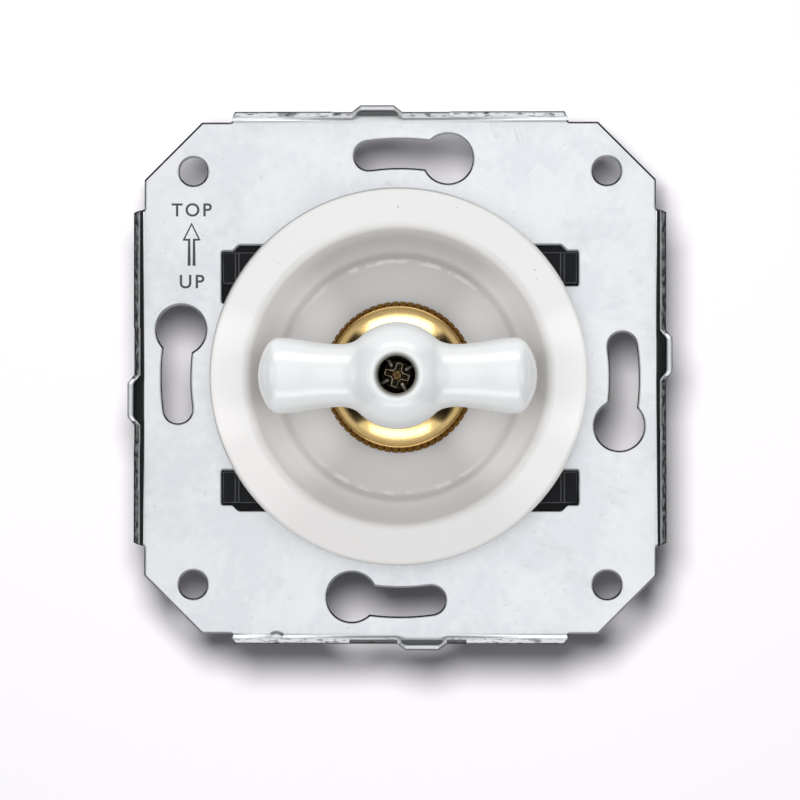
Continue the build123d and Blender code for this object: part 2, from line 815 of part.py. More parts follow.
os.makedirs("parts", exist_ok=True)
nodes = {
    "support_plate": support_plate(),
    "porcelain_bowl": porcelain_bowl(),
    "bowl_washer": bowl_washer(),
    "ring_nut": ring_nut(),
    "threaded_bush": threaded_bush(),
    "lever_handle": lever_handle(),
    "handle_washer": handle_washer(),
    "handle_screw": handle_screw(),
    "spindle": spindle(),
    "spindle_clip": spindle_clip(),
    "mechanism_housing": mechanism_housing(),
    "rear_cover": rear_cover(),
    "cover_screws": cover_screws(),
    "rotor": rotor(),
    "contact_bridge": contact_bridge(),
    "bridge_rivets": bridge_rivets(),
    "fixed_rivets": fixed_rivets(),
    "common_contact": strip(common_outline(0), UPPER_LEFT),
    "contact_one": strip(right_outline(0), UPPER_RIGHT),
    "contact_two": strip(lower_outline(0), LOWER_RIGHT),
    "detent_spring_upper": detent_spring(1),
    "detent_spring_lower": detent_spring(-1),
    "terminal_clamps": Compound([terminal_clamp(corner) for corner in WIRED_CORNERS]),
    "terminal_screws": Compound([terminal_screw(corner) for corner in WIRED_CORNERS]),
}
for name, shape in nodes.items():
    export_step(shape, f"parts/{name}.step")
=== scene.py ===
import math

import bpy
from mathutils import Matrix, Vector


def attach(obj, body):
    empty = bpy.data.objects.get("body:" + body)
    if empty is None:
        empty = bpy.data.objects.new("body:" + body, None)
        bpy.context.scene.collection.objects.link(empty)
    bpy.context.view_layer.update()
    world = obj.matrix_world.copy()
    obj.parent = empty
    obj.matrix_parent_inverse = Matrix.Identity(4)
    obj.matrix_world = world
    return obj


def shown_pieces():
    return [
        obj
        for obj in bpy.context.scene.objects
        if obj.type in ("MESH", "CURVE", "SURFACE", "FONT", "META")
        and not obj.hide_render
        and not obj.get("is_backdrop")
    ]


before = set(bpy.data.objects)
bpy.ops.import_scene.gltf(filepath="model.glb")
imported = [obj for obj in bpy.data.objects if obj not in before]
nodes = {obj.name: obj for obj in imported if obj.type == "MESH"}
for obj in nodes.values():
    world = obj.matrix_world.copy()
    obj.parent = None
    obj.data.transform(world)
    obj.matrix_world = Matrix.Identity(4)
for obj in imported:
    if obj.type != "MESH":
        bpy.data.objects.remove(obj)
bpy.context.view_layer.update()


# Support plate: stamped from sheet steel that was zinc plated in the coil. Its faces carry a cloudy bloom,
# fine scratches and specks. Its punched edges are dark, with painted shade darkest where they face up. Its
# folds carry painted shade and reflection, and the sheared edges of its lips are torn, with painted light
# and shade by side. It lies on the wall, clamped between the bowl and the housing.
MM = 0.001


class Value:
    """The output of a shader node. Arithmetic on it adds Math nodes to the same material."""

    def __init__(self, finish, socket):
        self.finish = finish
        self.socket = socket

    def math(self, operation, *operands):
        sockets = dict(enumerate(operands))
        return self.finish.node("ShaderNodeMath", {"operation": operation}, sockets)

    def __add__(self, other):
        return self.math("ADD", self, other)

    def __radd__(self, other):
        return self.math("ADD", other, self)

    def __sub__(self, other):
        return self.math("SUBTRACT", self, other)

    def __rsub__(self, other):
        return self.math("SUBTRACT", other, self)

    def __mul__(self, other):
        return self.math("MULTIPLY", self, other)

    def __rmul__(self, other):
        return self.math("MULTIPLY", other, self)

    def __truediv__(self, other):
        return self.math("DIVIDE", self, other)

    def __gt__(self, other):
        return self.math("GREATER_THAN", self, other)

    def __abs__(self):
        return self.math("ABSOLUTE", self)

    def root(self):
        return self.math("SQRT", self)

    def at_least(self, other):
        return self.math("MAXIMUM", self, other)

    def at_most(self, other):
        return self.math("MINIMUM", self, other)


class Finish:
    """One material with a Principled shader, and the method that adds any other node to it."""

    def __init__(self, name, **constants):
        self.material = bpy.data.materials.new(name)
        self.material.use_nodes = True
        self.tree = self.material.node_tree
        self.shader = self.tree.nodes["Principled BSDF"]
        self.shade(**constants)

    def node(self, kind, settings=None, sockets=None, output=0):
        made = self.tree.nodes.new(kind)
        for name, value in (settings or {}).items():
            setattr(made, name, value)
        for name, value in (sockets or {}).items():
            self.feed(made.inputs[name], value)
        return Value(self, made.outputs[output])

    def feed(self, socket, value):
        if isinstance(value, Value):
            self.tree.links.new(value.socket, socket)
        else:
            socket.default_value = value

    def shade(self, **sockets):
        """Constants or values for the shader's own sockets."""
        for name, value in sockets.items():
            self.feed(self.shader.inputs[name.replace("_", " ")], value)

    def place(self):
        """Position on the piece in metres, in the frame that every piece shares."""
        return self.node("ShaderNodeTexCoord", output="Object")

    def stretched(self, x, y, z, turn=0.0):
        """That position with each direction scaled, after a turn about the depth."""
        turned = self.node("ShaderNodeMapping", {}, {"Vector": self.place(), "Rotation": (0, turn, 0)})
        return self.node("ShaderNodeVectorMath", {"operation": "MULTIPLY"}, {0: turned, 1: (x, y, z)})

    def normal(self):
        return self.node("ShaderNodeNewGeometry", output="Normal")

    def rounded_normal(self, radius):
        """The normal that the piece would have with its edges rounded to this radius."""
        return self.node("ShaderNodeBevel", {"samples": 8}, {"Radius": radius})

    def along(self, vector, axis):
        """One coordinate of a vector."""
        return self.node("ShaderNodeSeparateXYZ", {}, {0: vector}, axis)

    def noise(self, size, detail=2.0, place=None):
        """Soft noise between 0 and 1 whose patches are about this many metres across."""
        sockets = {"Vector": place or self.place(), "Scale": 1 / size, "Detail": detail}
        return self.node("ShaderNodeTexNoise", {}, sockets)

    def ramp(self, value, low, high, low_to=0.0, high_to=1.0):
        """A smooth step of a value from one level to another."""
        sockets = {"Value": value, "From Min": low, "From Max": high, "To Min": low_to, "To Max": high_to}
        return self.node("ShaderNodeMapRange", {"interpolation_type": "SMOOTHSTEP"}, sockets)

    def mix(self, share, first, second):
        """A colour between two others."""
        return self.node("ShaderNodeMix", {"data_type": "RGBA"}, {0: share, 6: first, 7: second}, 2)

    def specks(self, spacing, radius, share):
        """Round dots of this radius in a share of the cells of a lattice with this spacing."""
        sockets = {"Vector": self.place(), "Scale": 1 / spacing}
        near = self.node("ShaderNodeTexVoronoi", {}, sockets, "Distance")
        chance = self.along(self.node("ShaderNodeTexVoronoi", {}, sockets, "Color"), 0)
        edge = radius / spacing
        return self.ramp(near, edge, 0.5 * edge) * (chance > 1 - share)

    def relief(self, height, depth):
        """Bump of this real depth, in metres, into the shader's normal."""
        self.shade(Normal=self.node("ShaderNodeBump", {}, {"Height": height, "Distance": depth}))

    def coat(self, *pieces):
        for piece in pieces:
            piece.data.materials.clear()
            piece.data.materials.append(self.material)


def crossed_scratches(finish):
    """Three families of fine scratches, each with its own direction and its own patches."""
    scratches = 0
    for turn, patch_size in ((0.35, 4.5 * MM), (-0.8, 3.2 * MM), (1.25, 5.3 * MM)):
        lines = finish.noise(1.0, 1, finish.stretched(1900, 0, 60, turn))
        patches = finish.noise(patch_size, 1)
        scratches = scratches + finish.ramp(abs(lines - 0.5), 0.006, 0.002) * (patches > 0.6)
    return scratches


def shear_tears(finish, at_side):
    """Torn metal in short streaks along the lips, upright at the sides and level elsewhere."""
    beside = finish.noise(1.0, 4, finish.stretched(3200, 0, 900))
    level = finish.noise(1.0, 4, finish.stretched(900, 0, 3200))
    return level + at_side * (beside - level)


def sheared_colour(finish, tears, depth, outermost, tilt, at_side, at_bottom):
    """The front edges of lips and tabs: torn metal with painted light and shade, dark at the sides and
    mostly bright above and below, a painted highlight on the tabs' front strip and along the inner edge,
    and a painted dark outline.
    """
    low_stretch = -1.8 * MM
    outer_half = 34.85 * MM
    tab_front = -2.35 * MM
    side_dark, side_pale = (0.035, 0.035, 0.037, 1), (0.20, 0.20, 0.205, 1)
    level_dark, level_pale = (0.12, 0.12, 0.125, 1), (0.86, 0.87, 0.88, 1)
    # Painted shade at the sides and painted light above and below, over the torn streaks.
    beside = finish.mix(finish.ramp(tears, 0.42, 0.62), side_dark, side_pale)
    level = finish.mix(finish.ramp(tears, 0.34, 0.50), level_dark, level_pale)
    stepped_down = finish.ramp(depth, low_stretch, low_stretch + 0.1 * MM)
    outside = finish.ramp(outermost, outer_half, outer_half + 0.15 * MM)
    blots = finish.ramp(finish.noise(3.5 * MM, 2), 0.60, 0.66)
    dark_share = stepped_down * outside * (0.2 + at_bottom * 0.7) + (1 - stepped_down) * blots * 0.6
    level = finish.mix(dark_share, level, (0.07, 0.075, 0.075, 1))
    colour = finish.mix(at_side, level, beside)
    # Painted highlight on the tabs' front strip, a pale painted line along the inner edge and a painted
    # dark outline.
    tab = finish.ramp(depth, tab_front, tab_front - 0.08 * MM)
    colour = finish.mix(tab, colour, (0.80, 0.81, 0.82, 1))
    inner_line = finish.ramp(tilt, 0.12, 0.3)
    colour = finish.mix(inner_line * (1 - tab) * 0.6, colour, (0.62, 0.63, 0.64, 1))
    outline = finish.ramp(tilt, -0.15, -0.35) * 0.9 + inner_line * tab * 0.9
    return finish.mix(outline, colour, (0.02, 0.02, 0.022, 1))


def zinc_sheet():
    fold_start = 34.1 * MM
    tab_start = 34.95 * MM
    lip_front = -1.35 * MM
    side_start = 33.6 * MM
    bottom_start = -30 * MM
    zinc_cloud, zinc_pale = (0.82, 0.845, 0.865, 1), (0.92, 0.935, 0.95, 1)
    finish = Finish("zinc_sheet", Metallic=1.0)
    place = finish.place()
    across, depth, up = [finish.along(place, axis) for axis in range(3)]
    normal = finish.normal()
    facing = finish.along(normal, 1)
    outermost = abs(across).at_least(abs(up))
    beyond_fold = finish.ramp(outermost, fold_start, fold_start + 0.15 * MM)
    at_side = finish.ramp(abs(across), side_start, side_start + 0.4 * MM)
    at_bottom = finish.ramp(up, bottom_start, bottom_start - 2 * MM) * (1 - at_side)

    cloud = finish.noise(9 * MM, 5) * 0.72 + finish.noise(1.1 * MM, 4) * 0.28
    scratches = crossed_scratches(finish)
    specks = finish.specks(1.3 * MM, 0.17 * MM, 0.3)
    colour = finish.mix(finish.ramp(cloud, 0.40, 0.60), zinc_cloud, zinc_pale)
    colour = finish.mix(specks * 0.45, colour, (0.52, 0.54, 0.56, 1))
    colour = finish.mix(scratches * 0.45, colour, (0.97, 0.975, 0.98, 1))

    rounded = finish.rounded_normal(0.5 * MM)
    round_across, round_facing, round_up = [finish.along(rounded, axis) for axis in range(3)]
    tilt = (round_across * across + round_up * up) * (-1 / fold_start)
    near_edge = finish.ramp(round_facing, -0.9992, -0.988) * finish.ramp(facing, -0.1, -0.3)
    flat_or_outer = 1 - beyond_fold * (1 - finish.ramp(tilt, -0.03, -0.12))
    # Punched edges: a dark burnished edge, plus painted shade where the edge faces up.
    punched = near_edge * flat_or_outer * finish.ramp(round_up, -0.35, 0.0, 0.7, 1.0)
    colour = finish.mix(punched, colour, (0.012, 0.012, 0.014, 1))

    # Folds: painted shade and reflection. They are near black at the sides, grey on the tabs and pale
    # along the top; the bottom fold between the tabs keeps the sheet's colour.
    inward = (finish.along(normal, 0) * across + finish.along(normal, 2) * up) * (-1 / fold_start)
    fold = beyond_fold * finish.ramp(inward, 0.02, 0.12)
    tab_zone = finish.ramp(outermost, tab_start, tab_start + 0.1 * MM)
    fold_painted_light = finish.mix(at_side, (0.88, 0.89, 0.89, 1), (0.04, 0.045, 0.045, 1))
    fold_painted_light = finish.mix(tab_zone * (1 - at_side), fold_painted_light, (0.30, 0.32, 0.32, 1))
    colour = finish.mix(fold * (1 - at_bottom * (1 - tab_zone)), colour, fold_painted_light)

    tears = shear_tears(finish, at_side)
    sheared = finish.ramp(facing, -0.80, -0.97) * finish.ramp(depth, lip_front, lip_front - 0.1 * MM)
    # The sheared edges' colour: torn metal with painted light and shade by side.
    torn_and_painted_light = sheared_colour(finish, tears, depth, outermost, tilt, at_side, at_bottom)
    sideways = finish.ramp(abs(facing), 0.35, 0.1)
    finish.shade(Base_Color=finish.mix(sheared, colour, torn_and_painted_light))
    finish.shade(Roughness=0.30 + cloud * 0.12 - sideways * 0.12 + sheared * 0.05 - scratches * 0.06)
    grain = finish.noise(0.35 * MM, 3)
    finish.relief(grain * 0.3 + cloud * 0.8 - scratches * 0.5 + tears * sheared * 3, 0.010 * MM)
    return finish


def broken_edges(piece, width):
    """Rounds the sharp edges of a CAD piece slightly, as tumbling and plating do."""
    weld = piece.modifiers.new("weld", "WELD")
    weld.merge_threshold = 0.001 * MM
    bevel = piece.modifiers.new("broken_edges", "BEVEL")
    bevel.width = width
    bevel.segments = 2
    bevel.limit_method = "ANGLE"
    bevel.angle_limit = math.radians(40)
    bevel.harden_normals = True


support_plate = nodes["support_plate"]
zinc_sheet().coat(support_plate)
broken_edges(support_plate, 0.20 * MM)


# Marks on the plate: an outlined arrow and two plain words that say which way up it goes, stamped
# into the sheet and dark. Here they are thin dark inlays that stand a hundredth of a millimetre
# proud of the plate's front.
plate_front = -0.8 * MM
mark_proud = 0.01 * MM
mark_middle = -27.9 * MM
mark_finish = Finish("stamped_mark", Metallic=0.4, Roughness=0.6)
wear = mark_finish.noise(0.3 * MM, 2)
mark_finish.shade(Base_Color=mark_finish.mix(wear, (0.04, 0.04, 0.045, 1), (0.13, 0.135, 0.14, 1)))
mark_finish.relief(wear, 0.01 * MM)


def set_on_plate(mark, x, z):
    """Turns a flat curve object upright, puts it on the plate's front and lets it ride there."""
    bpy.context.scene.collection.objects.link(mark)
    mark.matrix_world = Matrix.Translation((x, plate_front, z)) @ Matrix.Rotation(math.radians(90), 4, "X")
    mark_finish.coat(mark)
    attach(mark, "fixed_parts")


def stamped_word(name, word, cap_height, middle_z):
    capital_share = 0.69
    letters = bpy.data.curves.new(name, "FONT")
    letters.body = word
    letters.size = cap_height / capital_share
    letters.space_character = 1.25
    letters.align_x = "CENTER"
    letters.offset = 0.035 * MM
    letters.extrude = mark_proud
    set_on_plate(bpy.data.objects.new(name, letters), mark_middle, middle_z - cap_height / 2)


def stamped_arrow(name, top_z):
    """An open outline: two head edges that meet in a point, and a shaft of two lines."""
    length = 5.6 * MM
    head = 2.1 * MM
    half_head = 1.05 * MM
    half_shaft = 0.33 * MM
    line = 0.42 * MM
    outline = bpy.data.curves.new(name, "CURVE")
    outline.dimensions = "3D"
    outline.bevel_depth = line / 2
    outline.bevel_resolution = 2
    points = [
        (-half_shaft, -length),
        (-half_shaft, -head),
        (-half_head, -head),
        (0, 0),
        (half_head, -head),
        (half_shaft, -head),
        (half_shaft, -length),
    ]
    spline = outline.splines.new("POLY")
    spline.points.add(len(points) - 1)
    for point, (x, y) in zip(spline.points, points):
        point.co = (x, y, 0, 1)
    arrow = bpy.data.objects.new(name, outline)
    set_on_plate(arrow, mark_middle, top_z)
    arrow.matrix_world = arrow.matrix_world @ Matrix.Diagonal((1, 1, 2 * mark_proud / line, 1))


stamped_word("mark_top", "TOP", 1.7 * MM, 22.5 * MM)
stamped_arrow("mark_arrow", 20.6 * MM)
stamped_word("mark_up", "UP", 1.75 * MM, 12.9 * MM)


# Mechanism housing and rear cover: moulded in black thermoplastic. The four lugs that hook through
# the plate's windows are smooth, with pale painted highlights on their edges in places. Behind the plate
# the plastic is more matt, and the cover closes the back.
def black_plastic():
    behind_start = 0.3 * MM
    behind_full = 1.5 * MM
    finish = Finish("black_plastic", Specular_IOR_Level=0.16)
    texture = finish.noise(0.12 * MM, 3)
    bloom = finish.noise(6 * MM, 3)
    behind = finish.ramp(finish.along(finish.place(), 1), behind_start, behind_full)
    smooth = finish.mix(bloom, (0.0035, 0.004, 0.005, 1), (0.008, 0.009, 0.011, 1))
    matt = finish.mix(bloom, (0.020, 0.021, 0.023, 1), (0.034, 0.035, 0.037, 1))
    # Painted highlight: pale on the lugs' front edges, in places.
    edges = finish.ramp(finish.along(finish.rounded_normal(0.22 * MM), 1), -0.985, -0.92)
    edge_highlight = edges * (1 - behind) * finish.ramp(bloom, 0.35, 0.6) * 0.7
    smooth = finish.mix(edge_highlight, smooth, (0.16, 0.17, 0.18, 1))
    finish.shade(Base_Color=finish.mix(behind, smooth, matt))
    finish.shade(Roughness=0.20 + bloom * 0.14 + behind * 0.16)
    finish.relief(texture, 0.012 * MM)
    return finish


black_plastic().coat(nodes["mechanism_housing"], nodes["rear_cover"])
broken_edges(nodes["mechanism_housing"], 0.12 * MM)


# Turned brass: the threaded bush, whose flange sits in the housing, and the spindle that turns
# in it. Both come off a lathe, so fine turning lines run round them.
def from_axis(finish):
    """Distance from the spindle axis."""
    place = finish.place()
    across = finish.along(place, 0)
    up = finish.along(place, 2)
    return (across * across + up * up).root()


def turning_lines(finish, pitch):
    sockets = {"W": from_axis(finish), "Scale": 1 / pitch, "Detail": 2.0}
    return finish.node("ShaderNodeTexNoise", {"noise_dimensions": "1D"}, sockets)


def turned_brass():
    finish = Finish("turned_brass", Metallic=1.0)
    tarnish = finish.noise(2.5 * MM, 4)
    finish.shade(Base_Color=finish.mix(tarnish, (0.62, 0.44, 0.19, 1), (0.76, 0.58, 0.30, 1)))
    finish.shade(Roughness=0.22 + tarnish * 0.2)
    finish.relief(turning_lines(finish, 0.06 * MM), 0.004 * MM)
    return finish


turned_brass().coat(nodes["threaded_bush"], nodes["spindle"])


# Spring steel: the clip that holds the spindle in its bush and the two detent leaves above and
# below the cam, all hardened and left with a blue-grey skin.
def spring_steel():
    finish = Finish("spring_steel", Metallic=1.0)
    rolling = finish.noise(1.0, 2, finish.stretched(500, 4000, 500))
    skin = finish.noise(1.5 * MM, 3)
    finish.shade(Base_Color=finish.mix(skin, (0.30, 0.32, 0.36, 1), (0.44, 0.45, 0.47, 1)))
    finish.shade(Roughness=0.28 + rolling * 0.15)
    finish.relief(rolling, 0.003 * MM)
    return finish


spring_steel().coat(nodes["spindle_clip"], nodes["detent_spring_upper"], nodes["detent_spring_lower"])


# Rotor: moulded in natural thermoplastic, a square cam in front and a drum behind it. It is
# pushed onto the spindle's square and carries the bridge.
def cream_plastic():
    finish = Finish("cream_plastic")
    cloud = finish.noise(3 * MM, 3)
    finish.shade(Base_Color=finish.mix(cloud, (0.66, 0.62, 0.52, 1), (0.74, 0.71, 0.62, 1)))
    finish.shade(Roughness=0.38 + cloud * 0.12)
    finish.relief(finish.noise(0.2 * MM, 2), 0.008 * MM)
    return finish


cream_plastic().coat(nodes["rotor"])


# Contact parts: the bridge is rolled bronze strip, the fixed strips and the wire clamps are
# brass, and the rivets have silver faces.
def rolled_strip(name, dark, pale):
    finish = Finish(name, Metallic=1.0)
    rolling = finish.noise(1.0, 2, finish.stretched(3500, 3500, 260))
    tarnish = finish.noise(1.8 * MM, 4)
    finish.shade(Base_Color=finish.mix(tarnish, dark, pale))
    finish.shade(Roughness=0.26 + tarnish * 0.2)
    finish.relief(rolling, 0.004 * MM)
    return finish


bronze = rolled_strip("spring_bronze", (0.50, 0.28, 0.13, 1), (0.68, 0.43, 0.24, 1))
bronze.coat(nodes["contact_bridge"])
contact_brass = rolled_strip("contact_brass", (0.60, 0.43, 0.18, 1), (0.76, 0.59, 0.30, 1))
for contact in ("common_contact", "contact_one", "contact_two", "terminal_clamps"):
    contact_brass.coat(nodes[contact])
silver = rolled_strip("silver_contact", (0.66, 0.65, 0.62, 1), (0.84, 0.83, 0.81, 1))
silver.coat(nodes["bridge_rivets"], nodes["fixed_rivets"])


# Zinc-plated screws: two hold the rear cover on the housing and one stands in each wire clamp.
# They are steel, rolled and then plated.
def plated_screw():
    finish = Finish("zinc_screw", Metallic=1.0)
    bloom = finish.noise(0.8 * MM, 4)
    finish.shade(Base_Color=finish.mix(bloom, (0.56, 0.57, 0.60, 1), (0.74, 0.75, 0.76, 1)))
    finish.shade(Roughness=0.25 + bloom * 0.25)
    finish.relief(finish.noise(0.25 * MM, 2), 0.006 * MM)
    return finish


plated_screw().coat(nodes["cover_screws"], nodes["terminal_screws"])


# Bowl: slip-cast porcelain under a clear glaze with a few dark iron specks, clamped to the plate
# by the ring nut. Its colour is warmer low on the left. Painted shade makes it greyer above and below
# than beside and darker in its hollow, with a painted dark outline round the rim and painted light at
# the foot of the wall.
def bowl_glaze():
    rim_back = -9.3 * MM
    wall_front = -6.5 * MM
    wall_back = -4.6 * MM
    floor_front = -3.4 * MM
    foot_r = 16.3 * MM
    ring_r = 15.5 * MM
    rim_r = 24.8 * MM
    finish = Finish("bowl_porcelain", Coat_Roughness=0.04, Coat_IOR=1.5)
    place = finish.place()
    across, depth, up = [finish.along(place, axis) for axis in range(3)]
    radius = from_axis(finish)
    # Painted shade: the walls and floor of the hollow are darker than the rim.
    deep = finish.ramp(depth, rim_back, wall_front)
    floor = finish.ramp(depth, wall_back, floor_front)
    cloud = finish.noise(12 * MM, 3)
    warm_side = finish.ramp(across * -0.7 + up * -0.7, 10 * MM, 30 * MM)
    body = finish.mix(cloud, (0.735, 0.725, 0.715, 1), (0.775, 0.768, 0.760, 1))
    body = finish.mix(warm_side * 0.5, body, (0.775, 0.735, 0.715, 1))
    body = finish.mix(deep, body, (0.72, 0.705, 0.692, 1))
    body = finish.mix(floor, body, (0.62, 0.606, 0.594, 1))

    # Painted light and shade by angle: greyer above and below than beside, lighter at the rim's very
    # sides, a painted dark outline round the rim strongest at the upper left, and painted light at the
    # wall's foot.
    sideways = abs(across) / radius
    beside = finish.ramp(sideways, 0.50, 0.87)
    level = finish.ramp(sideways, 0.90, 0.985)
    low = finish.ramp(up, 4 * MM, -8 * MM)
    upper_left = finish.ramp(up * 0.7 - across * 0.7, -5 * MM, 18 * MM)
    outline = finish.ramp(radius, rim_r - 0.25 * MM, rim_r)
    foot = finish.ramp(abs(radius - foot_r), 1.7 * MM, 0.2 * MM)
    rim_tone = 0.97 - low * (1 - beside) * 0.12 + level * 0.16
    rim_tone = rim_tone - outline * (0.10 + upper_left * 0.42)
    deep_tone = 0.79 + low * 0.07 + beside * (0.28 + low * 0.08) - floor * (0.09 - beside * 0.045)
    tone = rim_tone + deep * (deep_tone - rim_tone + foot * 0.11)
    body = finish.node("ShaderNodeVectorMath", {"operation": "SCALE"}, {0: body, 3: tone})

    ring = finish.ramp(abs(radius - ring_r), 0.4 * MM, 0.1 * MM)
    broken = finish.ramp(finish.noise(2.4 * MM, 2), 0.42, 0.56)
    specks = finish.specks(2.6 * MM, 0.13 * MM, 0.22)
    body = finish.mix(ring * broken * 0.42, body, (0.80, 0.79, 0.78, 1))
    finish.shade(Base_Color=finish.mix(specks * 0.75, body, (0.17, 0.15, 0.13, 1)))
    finish.shade(Roughness=0.16 + cloud * 0.08, Coat_Weight=0.75 - specks * 0.4)
    finish.relief(finish.noise(4.5 * MM, 1) + finish.noise(1.1 * MM, 1) * 0.12, 0.05 * MM)
    return finish


bowl_glaze().coat(nodes["porcelain_bowl"])


# Fibre washers: punched from red vulcanised fibre, one under the ring nut and one under the head
# of the lever's screw, so that no metal presses on the porcelain itself.
def red_fibre():
    finish = Finish("fibre")
    strands = finish.noise(1.0, 3, finish.stretched(6000, 6000, 900))
    finish.shade(Base_Color=finish.mix(strands, (0.22, 0.075, 0.05, 1), (0.34, 0.13, 0.085, 1)))
    finish.shade(Roughness=0.62 + strands * 0.15)
    finish.relief(strands, 0.01 * MM)
    return finish


red_fibre().coat(nodes["bowl_washer"], nodes["handle_washer"])


# Ring nut: turned brass with straight knurling on its sloping side, screwed onto the bush. The
# dome is polished and lacquered. The shoulder is painted browner with a darker groove, as painted shade,
# and the knurling's dark brown is partly a brown skin and partly painted shade.
def polished_brass():
    shoulder_start = 8.75 * MM
    groove_r = 9.2 * MM
    knurl_start = 9.3 * MM
    finish = Finish("polished_brass", Metallic=1.0, Specular_Tint=(1.0, 0.72, 0.40, 1))
    radius = from_axis(finish)
    shoulder = finish.ramp(radius, shoulder_start, shoulder_start + 0.4 * MM)
    groove = finish.ramp(abs(radius - groove_r), 0.10 * MM, 0.03 * MM)
    knurl = finish.ramp(radius, knurl_start, knurl_start + 0.15 * MM)
    cloud = finish.noise(2.2 * MM, 3)
    gold = finish.mix(cloud, (0.78, 0.54, 0.20, 1), (0.88, 0.66, 0.32, 1))
    # Painted shade: the shoulder is browner and its groove darker.
    gold = finish.mix(shoulder * 0.55, gold, (0.42, 0.25, 0.08, 1))
    gold = finish.mix(groove * 0.6, gold, (0.20, 0.11, 0.04, 1))
    # The knurling's dark brown: partly a brown skin in its teeth, partly painted shade on its sloping
    # side.
    brown = finish.mix(finish.noise(0.3 * MM, 2), (0.045, 0.020, 0.007, 1), (0.21, 0.105, 0.03, 1))
    finish.shade(Base_Color=finish.mix(knurl, gold, brown))
    finish.shade(Roughness=0.13 + cloud * 0.06 + knurl * 0.18)
    finish.relief(turning_lines(finish, 0.05 * MM) - groove * 4, 0.003 * MM)
    return finish


polished_brass().coat(nodes["ring_nut"])


# Lever: pressed porcelain under a thick bluish glaze that rounds every corner. It turns with the
# spindle, held by one screw in its counterbore, which is painted dark as shade.
def lever_glaze():
    counterbore_r = 2.5 * MM
    counterbore_start = -16.0 * MM
    finish = Finish("lever_porcelain", Coat_Roughness=0.23, Coat_IOR=1.52)
    cloud = finish.noise(9 * MM, 2)
    specks = finish.specks(6.5 * MM, 0.14 * MM, 0.12)
    # Painted shade: the counterbore's wall is dark, with less glaze coat.
    near_axis = finish.ramp(from_axis(finish), counterbore_r + 0.7 * MM, counterbore_r)
    depth = finish.along(finish.place(), 1)
    counterbore_shade = near_axis * finish.ramp(depth, counterbore_start, counterbore_start - 0.5 * MM)
    body = finish.mix(cloud, (0.765, 0.782, 0.784, 1), (0.79, 0.805, 0.808, 1))
    body = finish.mix(counterbore_shade, body, (0.11, 0.105, 0.08, 1))
    finish.shade(Base_Color=finish.mix(specks * 0.7, body, (0.20, 0.22, 0.25, 1)))
    finish.shade(Roughness=0.22 + cloud * 0.08, Coat_Weight=0.9 - specks * 0.4 - counterbore_shade * 0.7)
    finish.relief(finish.noise(3.5 * MM, 1), 0.035 * MM)
    return finish


lever_glaze().coat(nodes["lever_handle"])


# Lever's screw: a steel pan head, blackened and burnished. Its cross recess has a brown middle and
# painted highlights on its edges, and four fine ticks between the wings, painted bright as highlights,
# tell the driver's kind.
def blackened_screw():
    tick_turn = math.radians(30)
    tick_start = 1.25 * MM
    tick_end = 2.3 * MM
    tick_half = 0.16 * MM
    recess_reach = 1.85 * MM
    middle_r = 0.58 * MM
    finish = Finish("blackened_screw", Metallic=1.0)
    turned = finish.stretched(1, 1, 1, tick_turn)
    right = abs(finish.along(turned, 0))
    high = abs(finish.along(turned, 2))
    radius = (right * right + high * high).root()
    from_line = right.at_most(high)
    faces_front = finish.ramp(finish.along(finish.normal(), 1), -0.6, -0.85)
    reach = finish.ramp(radius, tick_start, tick_start + 0.05 * MM)
    reach = reach * finish.ramp(radius, tick_end, tick_end - 0.05 * MM)
    # The ticks are painted bright, as highlights.
    ticks = finish.ramp(from_line, 1.4 * tick_half, 0.6 * tick_half) * reach * faces_front

    bloom = finish.noise(0.8 * MM, 4)
    flecks = finish.ramp(finish.noise(0.16 * MM, 2), 0.56, 0.66)
    colour = finish.mix(bloom, (0.004, 0.0035, 0.003, 1), (0.016, 0.013, 0.010, 1))
    colour = finish.mix(flecks * 0.5, colour, (0.13, 0.10, 0.05, 1))
    # Painted highlight on the recess's edges.
    edges = finish.ramp(radius, recess_reach, recess_reach - 0.1 * MM) * faces_front
    edges = edges * finish.ramp(finish.along(finish.rounded_normal(0.13 * MM), 1), -0.97, -0.88)
    colour = finish.mix(edges, colour, (0.90, 0.76, 0.52, 1))
    middle = finish.ramp(radius, middle_r, middle_r - 0.08 * MM)
    dark_lines = finish.ramp(from_line, 0.10 * MM, 0.04 * MM) * 0.8
    brown = finish.mix(bloom, (0.10, 0.06, 0.02, 1), (0.30, 0.19, 0.07, 1))
    colour = finish.mix(middle * (1 - dark_lines), colour, brown)
    finish.shade(Base_Color=finish.mix(ticks * 0.9, colour, (0.97, 0.90, 0.78, 1)))
    finish.shade(Roughness=0.24 + bloom * 0.2)
    finish.relief(finish.noise(0.25 * MM, 2) - ticks * 2, 0.006 * MM)
    return finish


blackened_screw().coat(nodes["handle_screw"])
broken_edges(nodes["handle_screw"], 0.06 * MM)


